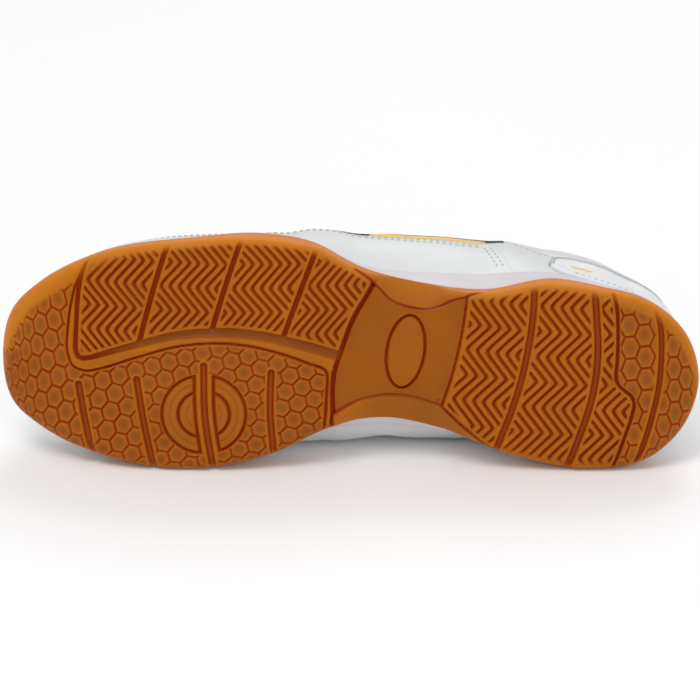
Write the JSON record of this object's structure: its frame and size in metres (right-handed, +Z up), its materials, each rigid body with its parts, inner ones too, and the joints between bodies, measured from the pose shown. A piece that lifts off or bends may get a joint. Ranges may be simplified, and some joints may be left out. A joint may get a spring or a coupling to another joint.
{
  "type": "indoor court shoe",
  "caption": "Left low-cut indoor court shoe with gum cup sole, white hollow upper, padded collar, tongue and crossed lace, lying on its inner side.",
  "frame": {"origin": "bottom centre of the bounding box: the floor under the shoe as it lies on its inner side", "axes": "+X from toe to heel, +Z up from the floor (towards the shoe's outer side), -Y the way the tread faces"},
  "size_m": [0.2938, 0.1252, 0.1004],
  "materials": {
    "gum_rubber": "semi-gloss translucent gum rubber",
    "white_foam": "moulded foam, matte",
    "grey_insole": "brushed textile over foam",
    "white_leather": "fine-grained coated leather",
    "white_trim": "smooth coated leather",
    "white_textile": "padded textile",
    "white_lace": "flat woven lace"
  },
  "bodies": {
    "root": {"outsole": "gum_rubber", "midsole": "white_foam", "insole": "grey_insole", "upper": "white_leather", "eyestay": "white_trim", "heel_counter": "white_trim", "tongue": "white_textile", "lace": "white_lace"}
  },
  "joints": []
}
